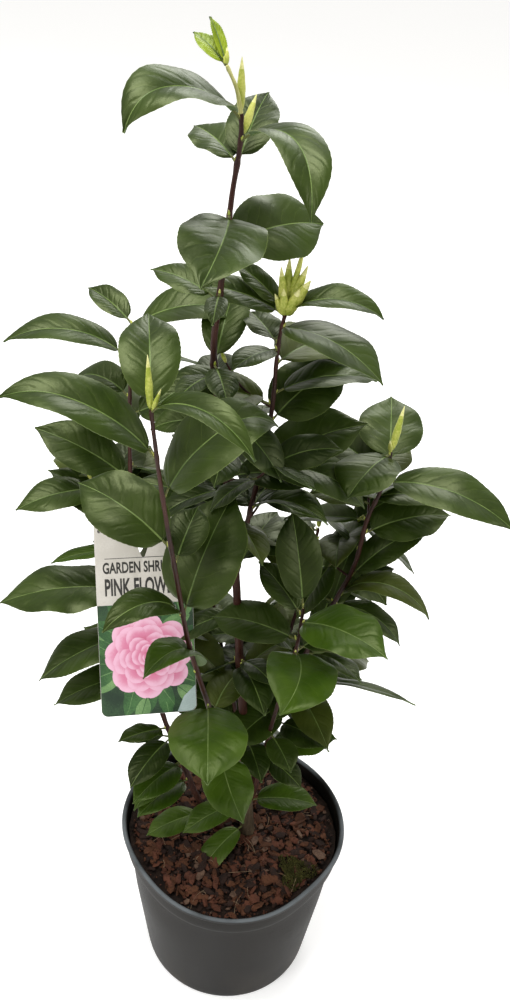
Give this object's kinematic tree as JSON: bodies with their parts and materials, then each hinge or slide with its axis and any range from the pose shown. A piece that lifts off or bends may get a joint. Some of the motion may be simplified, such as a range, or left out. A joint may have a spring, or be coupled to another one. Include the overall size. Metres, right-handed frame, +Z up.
{
  "type": "potted camellia shrub",
  "caption": "Young evergreen flowering shrub in a round nursery pot of compost, with upright woody stems, glossy leaves and a hanging plant label.",
  "frame": {"origin": "centre of the pot's flat underside", "axes": "+Z up along the stems, -Y towards the side with the label in front of the left stems, +X to that side's right"},
  "size_m": [0.4184, 0.3075, 0.9483],
  "materials": {
    "pot": "moulded anthracite polypropylene with a satin rim",
    "compost": "dark bark chips over peat",
    "label": "printed plastic card",
    "bark": "thin smooth red-brown bark",
    "foliage": "glossy evergreen leaves"
  },
  "bodies": {
    "root": {"pot": "pot", "compost": "compost", "label": "label", "main_stem": "bark", "left_rear_stem": "bark", "left_front_stem": "bark", "right_stem": "bark", "right_front_stem": "bark", "upper_right_bough": "bark", "rear_left_stem": "bark", "rear_right_stem": "bark", "crown_tip_foliage": "foliage", "crown_upper_foliage": "foliage", "left_front_top_foliage": "foliage", "left_rear_top_foliage": "foliage", "bough_top_foliage": "foliage", "right_top_foliage": "foliage", "left_rear_lower_foliage": "foliage", "left_rear_upper_foliage": "foliage", "left_front_upper_foliage": "foliage", "left_front_middle_foliage": "foliage", "left_front_lower_foliage": "foliage", "crown_middle_foliage": "foliage", "bough_middle_foliage": "foliage", "bough_lower_foliage": "foliage", "right_middle_foliage": "foliage", "right_front_top_foliage": "foliage", "right_lower_foliage": "foliage", "right_front_lower_foliage": "foliage", "rear_left_upper_foliage": "foliage", "rear_right_upper_foliage": "foliage", "rear_left_lower_foliage": "foliage", "rear_right_lower_foliage": "foliage", "main_stem_middle_foliage": "foliage", "foot_left_foliage": "foliage", "foot_right_foliage": "foliage", "foot_front_foliage": "foliage"}
  },
  "joints": []
}
